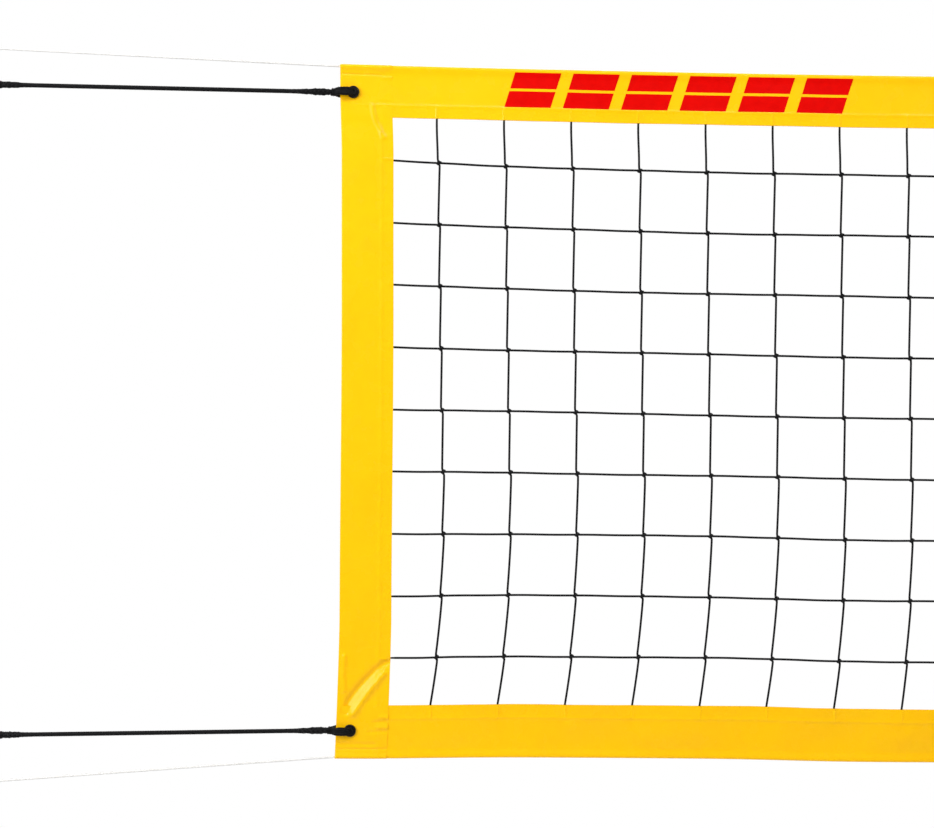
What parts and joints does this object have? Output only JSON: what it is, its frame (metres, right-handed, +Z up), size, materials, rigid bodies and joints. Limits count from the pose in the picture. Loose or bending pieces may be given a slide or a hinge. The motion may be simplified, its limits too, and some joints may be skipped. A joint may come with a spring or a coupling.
{
  "type": "volleyball net on poles",
  "caption": "Beach volleyball net with bright tape bands, knotted mesh and roped corners, hung between two free-standing poles with a pulley and a hand winch.",
  "frame": {"origin": "on the floor midway between the two poles, at the centre of the footprint", "axes": "+X along the net towards the pole with the winch, -Y the net's front, +Z up"},
  "size_m": [10.4, 0.6, 2.569],
  "materials": {
    "yellow_pvc": "soft gloss PVC tape",
    "black_twine": "knotted twisted twine",
    "light_line": "braided light line",
    "black_rope": "braided cord",
    "black_eyelet": "black lacquered",
    "stainless_steel": "polished stainless",
    "aluminium_tube": "satin anodised",
    "coated_steel": "fine textured powder coat",
    "zinc_steel": "zinc plated",
    "black_plastic": "matt moulded"
  },
  "bodies": {
    "net_and_poles": {"top_band": "yellow_pvc", "bottom_band": "yellow_pvc", "left_band": "yellow_pvc", "right_band": "yellow_pvc", "netting_rows": "black_twine", "netting_columns": "black_twine", "top_line": "light_line", "bottom_line": "light_line", "rope_upper_left": "black_rope", "rope_lower_left": "black_rope", "rope_upper_right": "black_rope", "rope_lower_right": "black_rope", "grommet_upper_left": "black_eyelet", "grommet_lower_left": "black_eyelet", "grommet_upper_right": "black_eyelet", "grommet_lower_right": "black_eyelet", "snap_hook_upper_left": "stainless_steel", "snap_hook_lower_left": "stainless_steel", "snap_hook_upper_right": "stainless_steel", "snap_hook_lower_right": "stainless_steel", "eye_bolt_upper_left": "stainless_steel", "eye_bolt_lower_left": "stainless_steel", "eye_bolt_upper_right": "stainless_steel", "eye_bolt_lower_right": "stainless_steel", "eye_bolt_top_line_left": "stainless_steel", "eye_bolt_bottom_line_left": "stainless_steel", "eye_bolt_bottom_line_right": "stainless_steel", "lock_nut_upper_left": "stainless_steel", "lock_nut_lower_left": "stainless_steel", "lock_nut_upper_right": "stainless_steel", "lock_nut_lower_right": "stainless_steel", "lock_nut_top_line_left": "stainless_steel", "lock_nut_bottom_line_left": "stainless_steel", "lock_nut_bottom_line_right": "stainless_steel", "pulley_axle": "stainless_steel", "pole_left": "aluminium_tube", "pole_right": "aluminium_tube", "base_left": "coated_steel", "base_right": "coated_steel", "cross_bolt_left": "zinc_steel", "cross_bolt_right": "zinc_steel", "cross_nut_left": "zinc_steel", "cross_nut_right": "zinc_steel", "winch_frame": "zinc_steel", "pawl_pin": "zinc_steel", "winch_screw_upper": "zinc_steel", "winch_screw_lower": "zinc_steel", "pole_cap_left": "black_plastic", "pole_cap_right": "black_plastic"},
    "winch": {"winch_drum": "zinc_steel", "line_turns": "light_line", "crank_arm": "zinc_steel", "crank_bolt": "zinc_steel"},
    "grip": {"crank_grip": "black_plastic"},
    "pawl": {"pawl": "zinc_steel"},
    "pulley": {"pulley_wheel": "black_plastic"},
    "gate_upper_left": {"hook_gate_upper_left": "stainless_steel"},
    "gate_lower_left": {"hook_gate_lower_left": "stainless_steel"},
    "gate_upper_right": {"hook_gate_upper_right": "stainless_steel"},
    "gate_lower_right": {"hook_gate_lower_right": "stainless_steel"}
  },
  "joints": [
    {"name": "winch_turn", "type": "hinge", "parent": "net_and_poles", "child": "winch", "pos_m": [5.008, 0, 1.15], "axis": [0, 1, 0], "continuous": true},
    {"name": "grip_spin", "type": "hinge", "parent": "winch", "child": "grip", "pos_m": [5.008, -0.095, 1], "axis": [0, 1, 0], "continuous": true},
    {"name": "pawl_lift", "type": "hinge", "parent": "net_and_poles", "child": "pawl", "pos_m": [5.038, 0.017, 1.19], "axis": [0, 1, 0], "range_deg": [0, 22]},
    {"name": "pulley_turn", "type": "hinge", "parent": "net_and_poles", "child": "pulley", "pos_m": [4.918, 0, 2.46454], "axis": [0, 1, 0], "continuous": true},
    {"name": "gate_upper_left_open", "type": "hinge", "parent": "net_and_poles", "child": "gate_upper_left", "pos_m": [-4.81118, 0, 2.42218], "axis": [0, -1, 0], "range_deg": [0, 20], "stiffness_Nm_per_rad": 0.02, "springref_deg": -20.05},
    {"name": "gate_lower_left_open", "type": "hinge", "parent": "net_and_poles", "child": "gate_lower_left", "pos_m": [-4.8109, 0, 1.4609], "axis": [0, -1, 0], "range_deg": [0, 20], "stiffness_Nm_per_rad": 0.02, "springref_deg": -20.05},
    {"name": "gate_upper_right_open", "type": "hinge", "parent": "net_and_poles", "child": "gate_upper_right", "pos_m": [4.81118, 0, 2.42218], "axis": [0, 1, 0], "range_deg": [0, 20], "stiffness_Nm_per_rad": 0.02, "springref_deg": -20.05},
    {"name": "gate_lower_right_open", "type": "hinge", "parent": "net_and_poles", "child": "gate_lower_right", "pos_m": [4.8109, 0, 1.4609], "axis": [0, 1, 0], "range_deg": [0, 20], "stiffness_Nm_per_rad": 0.02, "springref_deg": -20.05}
  ],
  "couplings": [
    {"joint": "pulley_turn", "follows": "winch_turn", "ratio": -0.71731}
  ]
}
